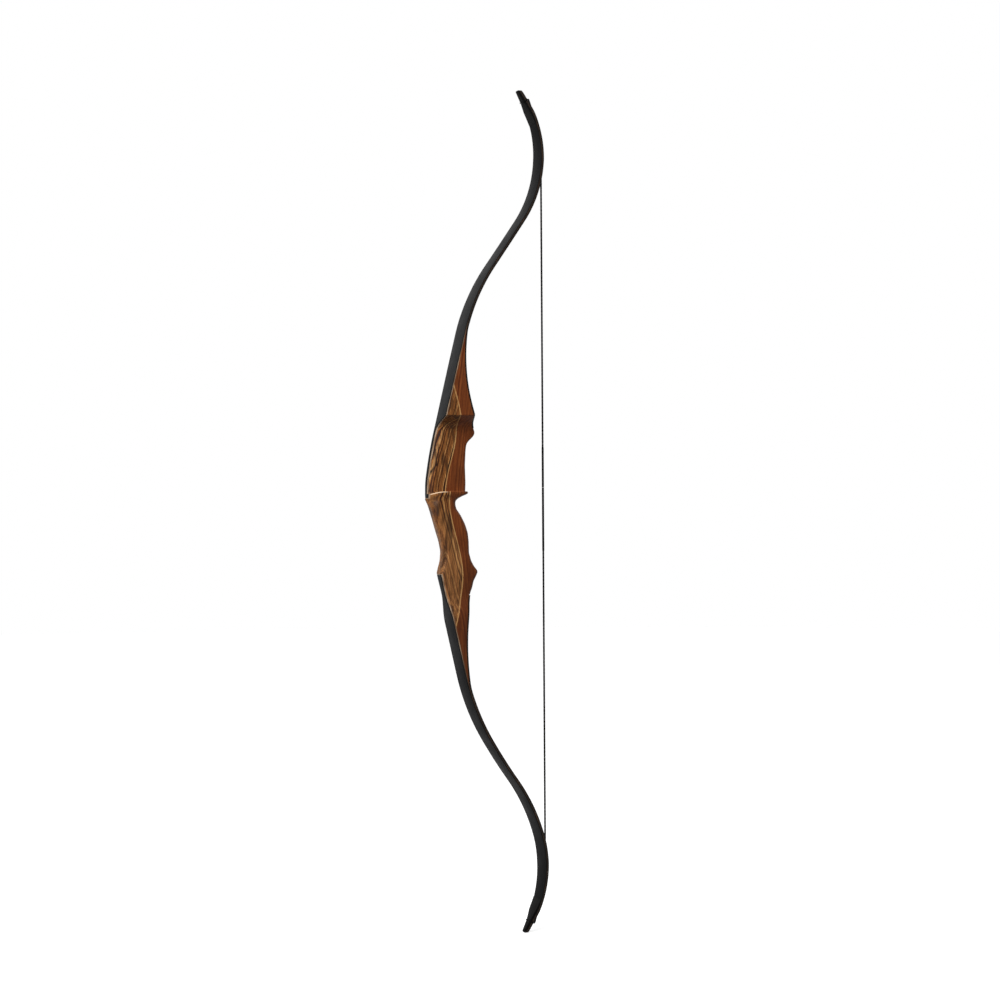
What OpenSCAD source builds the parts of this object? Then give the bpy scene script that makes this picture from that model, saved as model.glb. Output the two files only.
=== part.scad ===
// One-piece recurve bow, braced: a wooden riser of three glued blocks, laminated
// limbs that bend at three places each, tip overlays with nock grooves, looped bowstring.
// Origin at the throat of the grip, +X toward the archer, +Z up, -Y to the archer's left.

/* [Limb build] */
// Thickness of each outer glass lamination
glass_t = 1.1; // [0.6:0.1:2]
// Thickness of each wood core lamination
core_t = 1.65; // [1:0.05:3]
// Limb width where it leaves the riser
limb_w = 43; // [36:0.5:50]
// Clearance left for glue between the riser blocks and the laminations
glue = 0.05; // [0.02:0.01:0.2]

/* [Upper limb curve] */
// X of the back face where the upper glass starts on the riser
upper_start_x = -50.1; // [-60:0.1:-40]
// Height at which the upper glass starts
upper_start_z = 8; // [6:1:12]
// Lean of the upper back face at its start, degrees toward the archer
upper_lean = 5.5; // [0:0.5:12]
// Lengths of the runs of the upper back curve, root to tip
upper_lengths = [6, 116, 168, 132, 98.5, 105, 98, 36]; // [5:0.5:200]
// Turn of each run toward the archer, degrees
upper_turns = [0, 8.5, 0, 21.5, -1, -29.5, -31.5, -6]; // [-40:0.5:40]
// Length along the curve at which the upper fade ends and the limb is free
upper_fade = 306; // [296:1:326]
// Lengths of the runs of the upper belly ramp, fade to riser
upper_ramp_lengths = [15, 120, 45]; // [10:1:150]
// Turns of these runs
upper_ramp_turns = [9, 22, 5]; // [0:0.5:30]

/* [Lower limb curve] */
// Distance below the throat at which the lower glass starts
lower_start_z = 120; // [114:1:126]
// Lean of the lower back face at its start, degrees toward the archer
lower_lean = 13; // [8:0.5:18]
// Lengths of the runs of the lower back curve, root to tip
lower_lengths = [179, 124, 85.5, 108, 117, 58]; // [20:0.5:200]
// Turn of each run toward the archer, degrees
lower_turns = [0, 18, 5, -19.5, -35, -12]; // [-40:0.5:40]
// Length along the curve at which the lower fade ends and the limb is free
lower_fade = 212; // [200:1:225]
// Lengths of the runs of the lower belly ramp, fade to riser
lower_ramp_lengths = [20, 150]; // [10:1:170]
// Turns of these runs
lower_ramp_turns = [10, 18.5]; // [0:0.5:30]

/* [Bending places] */
// Distances past the fade at which each limb bends
bend_steps = [30, 115, 200]; // [20:1:220]
// Clearance around the round end that turns in each bending place
bend_clearance = 0.3; // [0.2:0.05:0.6]

/* [Riser] */
// Length from shelf level over which the accent stripe swings above the shelf
accent_up = 118; // [110:1:135]
// Length over which it swings below
accent_down = 138; // [130:1:155]
// X of the accent stripe at the shelf, where it lies farthest back
accent_x = -16; // [-19:0.5:-13]
// How far it swings toward the archer above the shelf
accent_swing_up = 21; // [16:0.5:25]
// How far it swings toward the archer below
accent_swing_down = 24; // [18:0.5:27]
// Thickness of the accent stripe
accent_t = 2; // [1:0.5:4]
// Half width of the grip
grip_half = 14.5; // [13:0.5:17]
// X of the beak under the shelf on the belly side
beak_x = 23.5; // [21:0.5:26]
// Radius of the near corner at the back of the shelf, seen from above
shelf_corner = 26; // [20:1:28]
// Radius of the near corner at the back of the sight window
window_corner = 13; // [8:1:16]

/* [Sight window] */
// Height of the arrow shelf above the throat
shelf_z = 20.5; // [18:0.5:22]
// X at which the shelf starts to fall away toward the back
shelf_fall_x = -26; // [-34:1:-18]
// How far the shelf falls to the back of the riser
shelf_drop = 6; // [2:0.5:8]
// Face of the sight window, past the middle plane
window_y = 4; // [1:0.5:6]
// Height at which the window face turns into its cove
window_top = 123; // [115:1:126]
// Radius of the cove
cove_r = 20; // [15:1:26]
// Angle through which the cove turns before it runs out straight
cove_turn = 57; // [50:1:65]

/* [Tips] */
// Distance along the limb from the nock groove to the tip end
nock_to_tip = 21.5; // [18:0.5:26]
// Half width of the limb at the nock groove
nock_half = 8; // [7:0.5:10]
// Thickness of the tip overlay
overlay_t = 3; // [2:0.5:5]
// Length of the overlay below the nock groove
overlay_l = 42; // [30:1:60]

/* [Bowstring] */
// Radius of the bare string
string_r = 1.3; // [1:0.1:1.6]
// Radius of the loops and of their two legs
loop_r = 1.3; // [1:0.1:1.6]
// Radius of the served string below the loops
loop_serving_r = 1.5; // [1.2:0.1:1.7]
// Radius of the served middle of the string
centre_serving_r = 1.6; // [1.4:0.1:2]
// Clearance between the string and the belly of the recurve
string_clearance = 0.3; // [0.2:0.05:0.6]
// Clearance of the loop in its groove and of the string links at their joints
loop_clearance = 0.3; // [0.2:0.05:0.6]
// Height of the nocking point
nocking_z = 27; // [24:0.5:32]
// Length of the served middle above the nocking point
serving_up = 70; // [50:5:90]
// Length of the served middle below it
serving_down = 110; // [90:5:140]
// Half of the break in the string at the nocking point
nock_gap = 0.15; // [0.1:0.05:0.5]
// Distances from the nock groove at which the string last touches the belly,
// first for the loop legs, then for the served part
touch_steps = [20, 60]; // [15:1:75]

/* [Hidden] */

UP = 0;
DOWN = 1;

black_glass = [0.1, 0.1, 0.11];
core_brown = [0.42, 0.3, 0.2];
striped_wood = [0.5, 0.35, 0.22];
pale_wood = [0.74, 0.56, 0.4];
red_wood = [0.45, 0.25, 0.13];
tip_black = [0.06, 0.06, 0.06];
thread = [0.16, 0.16, 0.16];

// Depths of the lamination faces below the back face
depths = [0, glass_t, glass_t + core_t, glass_t + 2 * core_t, 2 * glass_t + 2 * core_t];
limb_t = depths[4];
mid_d = depths[2];
nose_r = limb_t / 2;
socket_r = nose_r + bend_clearance;

// A curve is a list of [length, turn] runs; a place on it is [point, heading]
function arc_end(p, h, len, turn) = abs(turn) < 0.01
    ? p + len * [sin(h), cos(h)]
    : let (r = len / (turn * PI / 180))
      p + r * [cos(h) - cos(h + turn), sin(h + turn) - sin(h)];
function along(runs, s, p, h, i = 0) =
    s <= runs[i][0] || i == len(runs) - 1
    ? let (t = runs[i][1] * s / runs[i][0]) [arc_end(p, h, s, t), h + t]
    : along(runs, s - runs[i][0], arc_end(p, h, runs[i][0], runs[i][1]), h + runs[i][1], i + 1);
function crest(runs, h, i = 0) = h + runs[i][1] <= 0 && h > 0
    ? runs[i][0] * h / -runs[i][1]
    : runs[i][0] + crest(runs, h + runs[i][1], i + 1);
function sum(v, i = 0) = i < len(v) ? v[i] + sum(v, i + 1) : 0;
function side_step(place, d) = place[0] + d * [cos(place[1]), -sin(place[1])];
// Where the lines through two places along their headings meet
function meet(a, b) = a[0] + [sin(a[1]), cos(a[1])]
    * ((b[0][0] - a[0][0]) * cos(b[1]) - (b[0][1] - a[0][1]) * sin(b[1])) / sin(a[1] - b[1]);

curves = [
    [for (i = [0:len(upper_lengths) - 1]) [upper_lengths[i], upper_turns[i]]],
    [for (i = [0:len(lower_lengths) - 1]) [lower_lengths[i], lower_turns[i]]]
];
leans = [upper_lean, lower_lean];
// Both recurves reach the same X, so the lower start follows from the upper one
crest_s = [crest(curves[UP], upper_lean), crest(curves[DOWN], lower_lean)];
crest_x = along(curves[UP], crest_s[UP], [upper_start_x, 0], upper_lean)[0][0];
lower_start_x = crest_x - along(curves[DOWN], crest_s[DOWN], [0, 0], lower_lean)[0][0];
starts = [[upper_start_x, upper_start_z], [lower_start_x, lower_start_z]];
function back(side, s) = along(curves[side], s, starts[side], leans[side]);
function face(side, s, d) = side_step(back(side, s), d);

fades = [upper_fade, lower_fade];
tip_s = [sum(upper_lengths), sum(lower_lengths)];
tip_z = [back(UP, tip_s[UP])[0][1], back(DOWN, tip_s[DOWN])[0][1]];
bends = [for (side = [UP, DOWN]) [for (step = bend_steps) fades[side] + step]];

// Belly ramps: from the fade down to the riser, as runs that lead away from the tip
ramps = [
    [for (i = [0:len(upper_ramp_lengths) - 1]) [upper_ramp_lengths[i], upper_ramp_turns[i]]],
    [for (i = [0:len(lower_ramp_lengths) - 1]) [lower_ramp_lengths[i], lower_ramp_turns[i]]]
];
function down_ramp(runs, u, p, h, i = 0) =
    u <= runs[i][0] || i == len(runs) - 1
    ? let (t = runs[i][1] * u / runs[i][0]) [arc_end(p, h, -u, -t), h - t]
    : down_ramp(runs, u - runs[i][0], arc_end(p, h, -runs[i][0], -runs[i][1]),
        h - runs[i][1], i + 1);
function ramp(side, u) = let (top = back(side, fades[side]))
    down_ramp(ramps[side], u, side_step(top, mid_d), top[1]);
ramp_u = [sum(upper_ramp_lengths), sum(lower_ramp_lengths)];
ramp_end_z = [for (side = [UP, DOWN]) ramp(side, ramp_u[side])[0][1] + 0.8];
blunt_u = 9;
block_top = [for (side = [UP, DOWN]) ramp(side, blunt_u)[0][1]];

// Spaced values from a to b, both included
function spread(a, b, step) = let (n = max(1, ceil(abs(b - a) / step)))
    [for (i = [0:n]) a + (b - a) * i / n];
function backward(v) = [for (i = [len(v) - 1:-1:0]) v[i]];

// Riser shape: half widths, corner radii and faces by height
function soft(z, table, w) = (lookup(z - w, table) + lookup(z - w / 2, table)
    + lookup(z, table) + lookup(z + w / 2, table) + lookup(z + w, table)) / 5;
limb_half = limb_w / 2;
low_sides = [
    [-200, limb_half], [-190, limb_half - 0.5], [-180, limb_half - 3], [-170, grip_half + 0.5],
    [-158, grip_half - 2], [-140, grip_half - 1], [-125, grip_half], [-8, grip_half]
];
function far_y(z) = soft(z, concat(low_sides, [[18, grip_half + 3.5], [40, limb_half]]), 6);
function near_low(z) = -soft(z, concat(low_sides, [[8, grip_half + 0.5], [17, grip_half + 5]]), 3);
// The cove, as [Y, height] down to the far end of its straight run-out
cove_bend = [window_y - cove_r * (1 - cos(cove_turn)), window_top + cove_r * sin(cove_turn)];
function run_out(y) = cove_bend[1] + (cove_bend[0] - y) / tan(cove_turn);
cove_end = run_out(-limb_half);
function cove_y(z) = z < window_top ? window_y
    : z < cove_bend[1]
    ? let (q = (z - window_top) / cove_r) window_y - cove_r + cove_r * sqrt(1 - q * q)
    : max(-limb_half, cove_bend[0] - (z - cove_bend[1]) * tan(cove_turn));
proud = 0.5;
shelf_step = 3;
function near_y(z) = z < shelf_z + 0.5 ? near_low(z)
    : max(cove_y(z) - proud, -limb_half);
low_back_corners = [
    [-205, 0], [-200, 1], [-190, 3], [-180, 5], [-170, 6], [-158, 8], [-142, 8], [-125, 8],
    [-108, 9], [-95, 10]
];
back_corners = concat(low_back_corners, [[0, 10], [14, 5], [30, 3], [150, 3], [200, 1.5], [280, 0]]);
near_back_corners = concat(low_back_corners, [
    [-20, 10], [-4, 13], [6, shelf_corner - 3], [14, shelf_corner], [shelf_z + 0.4, shelf_corner],
    [shelf_z + 0.5, window_corner], [window_top + 4, window_corner], [cove_end, 3],
    [200, 1.5], [280, 0]
]);
low_belly_corners = [
    [-160, 3], [-150, 8], [-130, 8], [-116, 6], [-100, 9], [-30, 11], [-8, 13], [2, 13]
];
belly_corners = concat(low_belly_corners, [[10, 7], [20, 4], [150, 4], [166, 3]]);
near_belly_corners = concat(low_belly_corners, [
    [10, 12], [17, 11], [shelf_z + 0.4, 20], [shelf_z + 0.5, 4], [150, 4], [166, 3]
]);
back_points = [
    [-120, lower_start_x - 0.5], [-110, -29.5], [-99, -26.5], [-82, -25], [-64, -28.5],
    [-47, -34], [-30, -39], [-12, -44.5], [5, -50], [upper_start_z, upper_start_x]
];
function ramp_outer(side) = let (end = face_of_ramp(side, ramp_u[side] - 0.5, limb_t - mid_d))
    end[0];
function face_of_ramp(side, u, d) = side_step(ramp(side, u), d);
belly_points = [
    [-ramp_end_z[DOWN], ramp_outer(DOWN)],
    [-145, 28], [-133, 30.5], [-124, 35], [-116, 38], [-108, 31.5], [-98, 26.5], [-85, 22.8],
    [-65, 22.5], [-50, 21], [-35, 16], [-20, 8.5], [-8, 0.3], [0, -1.8], [5, -0.6], [10, 5.5],
    [14.5, 15], [17.5, beak_x], [20, 22], [35, 22.8], [65, 21.8], [92, 23.3], [102, 24.8],
    [108, 29.3], [113, 35.4], [118, 39.6], [123, 40.4],
    [ramp_end_z[UP], ramp_outer(UP)]
];

// Faces the blocks are glued to, as [height, X]
core_faces = [for (side = [UP, DOWN])
    [for (s = spread(0, fades[side], 8)) let (p = face(side, s, mid_d)) [p[1], p[0]]]];
ramp_faces = [for (side = [UP, DOWN])
    [for (u = spread(0, ramp_u[side], 5)) let (p = ramp(side, u)[0]) [p[1], p[0]]]];
function side_at(z) = z > 0 ? UP : DOWN;
function glassed(z) = z > upper_start_z || z < -lower_start_z;
function core_x(z) = lookup(abs(z), core_faces[side_at(z)]) + glue;
function accent(z) = let (shift = z - 12, up = shift > 0)
    accent_x + (up ? accent_swing_up : accent_swing_down) / 2
    * (1 - cos(180 * shift / (up ? accent_up : accent_down)));
function back_x(z) = glassed(z) ? core_x(z) : soft(z, back_points, 4);
function stripe_back(z) = max(accent(z) - accent_t / 2, back_x(z));
function stripe_front(z) = max(accent(z) + accent_t / 2, back_x(z));
function on_ramp(z) = abs(z) > ramp_end_z[side_at(z)] + 0.1;
function belly_x(z) = on_ramp(z)
    ? lookup(abs(z), ramp_faces[side_at(z)]) - glue
    : soft(z, belly_points, 3);

function sorted(v) = len(v) < 2 ? v
    : let (rest = [for (i = [1:len(v) - 1]) v[i]])
      concat(sorted([for (q = rest) if (q < v[0]) q]), [v[0]],
          sorted([for (q = rest) if (q >= v[0]) q]));
marks = sorted([
    -block_top[DOWN], -ramp_end_z[DOWN] - 0.2, -ramp_end_z[DOWN], -lower_start_z - 0.2,
    -lower_start_z, -24, upper_start_z, upper_start_z + 0.2, shelf_z + 0.2,
    shelf_z + shelf_step, 30, window_top, ramp_end_z[UP], ramp_end_z[UP] + 0.2,
    cove_end + 1, block_top[UP]
]);
function ring_step(z) = z > -25 && z < 29 ? 2.5 : 6;
levels = concat([for (i = [0:len(marks) - 2])
    let (v = spread(marks[i], marks[i + 1], ring_step(marks[i] + 0.1)))
    each [for (j = [0:len(v) - 2]) v[j]]], [marks[len(marks) - 1]]);
blunt_edge = 0.3;
back_levels = [for (z = levels) if (stripe_back(z) - back_x(z) > blunt_edge) z];
stripe_levels = [for (z = levels) if (stripe_front(z) - stripe_back(z) > blunt_edge) z];

corner_steps = 6;
sharp_corners = [[0, 0.4], [1, 0.4]];
// A rounded corner as [depth below the outer face, distance in from the side], side last
function corner(radius, deep, cover) =
    let (r = max(min(radius, deep * 0.85 + cover), cover + min(0.6, deep * 0.4)),
         a0 = acos(1 - cover / r))
    [for (i = [0:corner_steps]) let (a = a0 + (90 - a0) * i / corner_steps)
        [r * (1 - cos(a)), r * (1 - sin(a))]];
// One level of a block: flat face at x0, outer face at x1 with both corners rounded
function block_ring(z, x0, x1, near_table, far_table, cover) =
    let (dir = sign(x1 - x0), yn = near_y(z), yf = far_y(z), outer = x1 + dir * cover,
         deep = abs(x1 - x0),
         pts = concat(
             [[x0, yn, z]],
             [for (c = backward(corner(lookup(z, near_table), deep, cover)))
                 [outer - dir * c[0], yn + c[1], z]],
             [for (c = corner(lookup(z, far_table), deep, cover))
                 [outer - dir * c[0], yf - c[1], z]],
             [[x0, yf, z]]))
    dir > 0 ? pts : backward(pts);

module loft(rings) {
    n = len(rings[0]);
    m = len(rings);
    polyhedron(
        points = [for (ring = rings) each ring],
        faces = concat(
            [[for (j = [0:n - 1]) j]],
            [for (k = [0:m - 2]) for (j = [0:n - 1])
                [k * n + j, (k + 1) * n + j, (k + 1) * n + (j + 1) % n]],
            [for (k = [0:m - 2]) for (j = [0:n - 1])
                [k * n + j, (k + 1) * n + (j + 1) % n, k * n + (j + 1) % n]],
            [[for (j = [n - 1:-1:0]) (m - 1) * n + j]]));
}

// Height of the shelf at a place along it: level, then falling away in a curve
function shelf_at(x) = shelf_z - (x < shelf_fall_x
    ? shelf_drop * pow((x - shelf_fall_x) / (upper_start_x - shelf_fall_x), 2) : 0);

// Room of the sight window and its cove, right across the riser
module window_room() {
    room = 4 * limb_w;
    far_x = upper_start_x - 4;
    intersection() {
        rotate([90, 0, 90])
            linear_extrude(room, center = true)
                polygon(concat(
                    [[-room / 2, 0], [window_y, 0]],
                    [for (a = spread(0, cove_turn, 3))
                        [window_y - cove_r * (1 - cos(a)), window_top + cove_r * sin(a)]],
                    [[-room / 2, run_out(-room / 2)]]));
        rotate([90, 0, 0])
            linear_extrude(room, center = true)
                polygon(concat(
                    [[-room / 2, room], [-room / 2, shelf_at(far_x)]],
                    [for (x = spread(far_x, shelf_fall_x, 3)) [x, shelf_at(x)]],
                    [[room / 2, shelf_z], [room / 2, room]]));
    }
}

// Length of the cuts that give the limbs their outline, past the farthest limb
cut_l = 4 * crest_x;
// Limb outlines, by distance below the tip end; the lower limb keeps its width farther
tip_sides = [
    [0, 3.4], [1, 4.3], [3, 4.9], [11, nock_half - 1.5], [15, nock_half - 0.7],
    [23, nock_half + 0.8], [27, nock_half + 2.3]
];
limb_sides = [
    concat(tip_sides, [
        [32, 11.9], [41, 14], [66, 15], [118, limb_half - 3.3], [218, limb_half - 2.5],
        [288, limb_half - 2], [365, limb_half - 1], [400, limb_half]
    ]),
    concat(tip_sides, [
        [32, 12.4], [41, 15.2], [66, 17], [118, limb_half - 1.3], [218, limb_half - 0.6],
        [288, limb_half - 0.3], [365, limb_half], [400, limb_half]
    ])
];
function limb_side(side, z) = lookup(tip_z[side] - z, limb_sides[side]);
// How far a rounded riser corner cuts into a lamination that lies at depth d
function corner_cut(table, z, d) = let (r = lookup(z, table))
    d < r ? r - sqrt(r * r - (r - d) * (r - d)) : 0;
function root_far(z, d) = far_y(z) - corner_cut(back_corners, z, d);
function root_near(z, d) = -near_y(z) - corner_cut(near_back_corners, z, d);

module outline(side, z0, z1, d) {
    zs = spread(z0, z1, 6);
    free_z = block_top[side] - blunt_u;
    rotate([90, 0, 90])
        linear_extrude(cut_l, center = true)
            polygon(concat(
                [for (z = zs)
                    [z < free_z ? root_far(side == UP ? z : -z, d) : limb_side(side, z), z]],
                [for (z = backward(zs))
                    [-(z < free_z ? root_near(side == UP ? z : -z, d) : limb_side(side, z)), z]]));
}

module tip_outline(side) {
    stops = backward([for (row = limb_sides[side]) if (row[0] < 300) row]);
    rotate([90, 0, 90])
        linear_extrude(cut_l, center = true)
            polygon(concat(
                [for (row = stops) [row[1], tip_z[side] - row[0]]],
                [for (row = backward(stops)) [-row[1], tip_z[side] - row[0]]]));
}

// Side view of a lamination between two lengths along the limb
strip_step = 6;
module strip(side, s0, s1, d0, d1) {
    ss = spread(s0, s1, strip_step);
    polygon(concat([for (s = ss) face(side, s, d0)], [for (s = backward(ss)) face(side, s, d1)]));
}
// The same with the belly ramp below the fade
module ramp_strip(side, s1, d0, d1) {
    ss = spread(fades[side], s1, strip_step);
    us = [for (u = spread(0, ramp_u[side], 5)) if (u > 0) u];
    polygon(concat(
        [for (u = backward(us)) face_of_ramp(side, u, d0 - mid_d)],
        [for (s = ss) face(side, s, d0)],
        [for (s = backward(ss)) face(side, s, d1)],
        [for (u = us) face_of_ramp(side, u, d1 - mid_d)]));
}
module bend_circle(side, k, r) {
    translate(face(side, bends[side][k], mid_d))
        circle(r, $fn = 48);
}
module upright(w) {
    rotate([90, 0, 0])
        linear_extrude(w, center = true)
            children();
}

// Frame at a place on the limb: X across the limb toward the belly, Z toward the tip
module at_place(side, s) {
    place = back(side, s);
    translate([place[0][0], 0, place[0][1]])
        rotate([0, place[1], 0])
            children();
}
nock_s = [tip_s[UP] - nock_to_tip, tip_s[DOWN] - nock_to_tip];
groove_r = loop_r + loop_clearance;
module nock_grooves(side) {
    at_place(side, nock_s[side]) {
        for (y = [-nock_half, nock_half])
            translate([-12, y, 0])
                rotate([0, 90, 0])
                    cylinder(30, groove_r, groove_r, $fn = 48);
        translate([-overlay_t, 0, 0])
            rotate([90, 0, 0])
                cylinder(60, groove_r, groove_r, center = true, $fn = 48);
    }
}

module lower_side(side) {
    mirror([0, 0, side == DOWN ? 1 : 0])
        children();
}

// Lamination number lam, 0 at the back, from the riser to the first bend
module root_lamination(side, lam) {
    d0 = depths[lam];
    d1 = depths[lam + 1];
    z1 = face(side, bends[side][0], mid_d)[1] + 5;
    lower_side(side)
        difference() {
            intersection() {
                upright(60)
                    difference() {
                        if (lam < 2)
                            strip(side, 0, bends[side][0], d0, d1);
                        else
                            ramp_strip(side, bends[side][0], d0, d1);
                        bend_circle(side, 0, socket_r);
                    }
                if (lam < 2)
                    outline(side, starts[side][1] + 0.4, z1, (d0 + d1) / 2);
                else
                    outline(side, ramp_end_z[side] + 0.2, z1, limb_t * 2);
            }
            if (side == UP)
                window_room();
        }
}

// The same past bend number k
module limb_lamination(side, lam, k) {
    d0 = depths[lam];
    d1 = depths[lam + 1];
    s0 = bends[side][k];
    last = k == len(bend_steps) - 1;
    s1 = last ? tip_s[side] : bends[side][k + 1];
    lower_side(side)
        difference() {
            intersection() {
                upright(60)
                    difference() {
                        union() {
                            strip(side, s0, s1, d0, d1);
                            intersection() {
                                strip(side, s0 - limb_t, s0 + 0.5, d0, d1);
                                bend_circle(side, k, nose_r);
                            }
                        }
                        if (!last)
                            bend_circle(side, k + 1, socket_r);
                    }
                if (last)
                    tip_outline(side);
                else
                    outline(side, face(side, s0, mid_d)[1] - 8, face(side, s1, mid_d)[1] + 8, 0);
            }
            if (last)
                nock_grooves(side);
        }
}

module overlay(side) {
    s0 = nock_s[side] - overlay_l;
    limb_ss = spread(bends[side][len(bend_steps) - 1], tip_s[side], strip_step);
    ss = concat([s0], [for (s = limb_ss) if (s > s0 + 1) s]);
    lower_side(side)
        difference() {
            intersection() {
                upright(60)
                    polygon(concat(
                        [for (s = ss) face(side, s, -glue)],
                        [for (s = backward(ss))
                            face(side, s, -min(overlay_t, 0.4 + (s - s0) * 0.11))]));
                tip_outline(side);
            }
            nock_grooves(side);
        }
}

// Bowstring: the line of each link touches the belly face line at one place
string_d = limb_t + string_clearance + string_r;
function touch(side, k) = k == 0 ? nock_s[side] - touch_steps[0]
    : k == 1 ? nock_s[side] - touch_steps[1] : crest_s[side];
function string_line(side, k) = let (place = back(side, touch(side, k)))
    [side_step(place, string_d), place[1]];
function leg_start(side) = let (n = back(side, nock_s[side]))
    meet(string_line(side, 0), [n[0], n[1] + 90]);
function link_joint(side, k) = meet(string_line(side, k), string_line(side, k + 1));
function flat(p, y) = [p[0], y, p[1]];
string_x = crest_x + string_d;
nocking = [nocking_z, -nocking_z];
serving_l = [serving_up, serving_down];

module rod(a, b, r) {
    v = b - a;
    translate(a)
        rotate([0, acos(v[2] / norm(v)), atan2(v[1], v[0])])
            cylinder(norm(v), r, r, $fn = 48);
}
module ball(p, r) {
    translate(p)
        sphere(r, $fn = 48);
}

// Loop round the back of the tip, down both side grooves to the belly
module loop(side) {
    ends = norm(leg_start(side) - back(side, nock_s[side])[0]) - groove_r;
    corner_x = groove_r - overlay_t;
    corner_y = nock_half - groove_r;
    lower_side(side)
        at_place(side, nock_s[side]) {
            translate([-overlay_t, 0, 0])
                rotate([90, 0, 0])
                    cylinder(2 * corner_y, loop_r, loop_r, center = true, $fn = 48);
            for (m = [0, 1])
                mirror([0, m, 0]) {
                    translate([corner_x, corner_y, 0])
                        rotate_extrude(angle = 90, start = 90, $fn = 48)
                            translate([groove_r, 0])
                                circle(loop_r, $fn = 48);
                    translate([corner_x, nock_half, 0])
                        rotate([0, 90, 0])
                            cylinder(ends - corner_x, loop_r, loop_r, $fn = 48);
                }
        }
}

// Two legs that run into a flat whipping before the first string joint
leg_close = 8;
whipping_l = 6;
whipping_r = loop_serving_r + 0.15;
module legs(side) {
    a = leg_start(side);
    b = link_joint(side, 0);
    c = b + (a - b) * leg_close / norm(a - b);
    lean = atan2(a[0] - b[0], a[1] - b[1]);
    apart = loop_r + 0.1;
    lower_side(side)
        difference() {
            union() {
                for (y = [-1, 1]) {
                    rod(flat(a, y * nock_half), flat(c, y * apart), loop_r);
                    ball(flat(a, y * nock_half), loop_r);
                }
                translate(flat(c, 0))
                    rotate([0, lean, 0])
                        linear_extrude(whipping_l, center = true) {
                            square([2 * whipping_r, 2 * apart], center = true);
                            for (y = [-apart, apart])
                                translate([0, y])
                                    circle(whipping_r, $fn = 48);
                        }
                rod(flat(c, 0), flat(b, 0), loop_serving_r);
            }
            ball(flat(b, 0), loop_serving_r + loop_clearance);
        }
}

module served_link(side) {
    a = link_joint(side, 0);
    b = link_joint(side, 1);
    lower_side(side)
        difference() {
            union() {
                rod(flat(a, 0), flat(b, 0), loop_serving_r);
                ball(flat(a, 0), loop_serving_r);
            }
            ball(flat(b, 0), string_r + loop_clearance);
        }
}

module bare_string(side) {
    a = link_joint(side, 1);
    lower_side(side) {
        rod([string_x, 0, nocking[side] + serving_l[side]], flat(a, 0), string_r);
        ball(flat(a, 0), string_r);
    }
}

module served_middle(side) {
    lower_side(side)
        translate([string_x, 0, nocking[side] + nock_gap])
            cylinder(serving_l[side] - nock_gap - 0.05, centre_serving_r, centre_serving_r, $fn = 48);
}

module riser_back_block() {
    color(striped_wood)
        difference() {
            loft([for (z = back_levels)
                block_ring(z, stripe_back(z), back_x(z), near_back_corners, back_corners,
                    glassed(z) ? mid_d : 0)]);
            window_room();
        }
}
module riser_accent_stripe() {
    color(pale_wood)
        difference() {
            loft([for (z = stripe_levels)
                let (a = stripe_back(z), b = stripe_front(z), yn = near_y(z), yf = far_y(z))
                [[a, yn, z], [b, yn, z], [b, yf, z], [a, yf, z]]]);
            window_room();
        }
}
module riser_belly_block() {
    color(red_wood)
        difference() {
            loft([for (z = levels)
                block_ring(z, stripe_front(z), belly_x(z),
                    on_ramp(z) ? sharp_corners : near_belly_corners,
                    on_ramp(z) ? sharp_corners : belly_corners, 0)]);
            window_room();
        }
}

module upper_back_glass_root() { color(black_glass) root_lamination(UP, 0); }
module upper_back_core_root() { color(core_brown) root_lamination(UP, 1); }
module upper_belly_core_root() { color(core_brown) root_lamination(UP, 2); }
module upper_belly_glass_root() { color(black_glass) root_lamination(UP, 3); }
module upper_back_glass_inner() { color(black_glass) limb_lamination(UP, 0, 0); }
module upper_back_core_inner() { color(core_brown) limb_lamination(UP, 1, 0); }
module upper_belly_core_inner() { color(core_brown) limb_lamination(UP, 2, 0); }
module upper_belly_glass_inner() { color(black_glass) limb_lamination(UP, 3, 0); }
module upper_back_glass_middle() { color(black_glass) limb_lamination(UP, 0, 1); }
module upper_back_core_middle() { color(core_brown) limb_lamination(UP, 1, 1); }
module upper_belly_core_middle() { color(core_brown) limb_lamination(UP, 2, 1); }
module upper_belly_glass_middle() { color(black_glass) limb_lamination(UP, 3, 1); }
module upper_back_glass_outer() { color(black_glass) limb_lamination(UP, 0, 2); }
module upper_back_core_outer() { color(core_brown) limb_lamination(UP, 1, 2); }
module upper_belly_core_outer() { color(core_brown) limb_lamination(UP, 2, 2); }
module upper_belly_glass_outer() { color(black_glass) limb_lamination(UP, 3, 2); }
module upper_tip_overlay() { color(tip_black) overlay(UP); }
module upper_nock_loop() { color(thread) loop(UP); }
module upper_loop_legs() { color(thread) legs(UP); }
module upper_loop_serving() { color(thread) served_link(UP); }
module upper_string() { color(thread) bare_string(UP); }
module upper_centre_serving() { color(thread) served_middle(UP); }
module lower_back_glass_root() { color(black_glass) root_lamination(DOWN, 0); }
module lower_back_core_root() { color(core_brown) root_lamination(DOWN, 1); }
module lower_belly_core_root() { color(core_brown) root_lamination(DOWN, 2); }
module lower_belly_glass_root() { color(black_glass) root_lamination(DOWN, 3); }
module lower_back_glass_inner() { color(black_glass) limb_lamination(DOWN, 0, 0); }
module lower_back_core_inner() { color(core_brown) limb_lamination(DOWN, 1, 0); }
module lower_belly_core_inner() { color(core_brown) limb_lamination(DOWN, 2, 0); }
module lower_belly_glass_inner() { color(black_glass) limb_lamination(DOWN, 3, 0); }
module lower_back_glass_middle() { color(black_glass) limb_lamination(DOWN, 0, 1); }
module lower_back_core_middle() { color(core_brown) limb_lamination(DOWN, 1, 1); }
module lower_belly_core_middle() { color(core_brown) limb_lamination(DOWN, 2, 1); }
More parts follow.
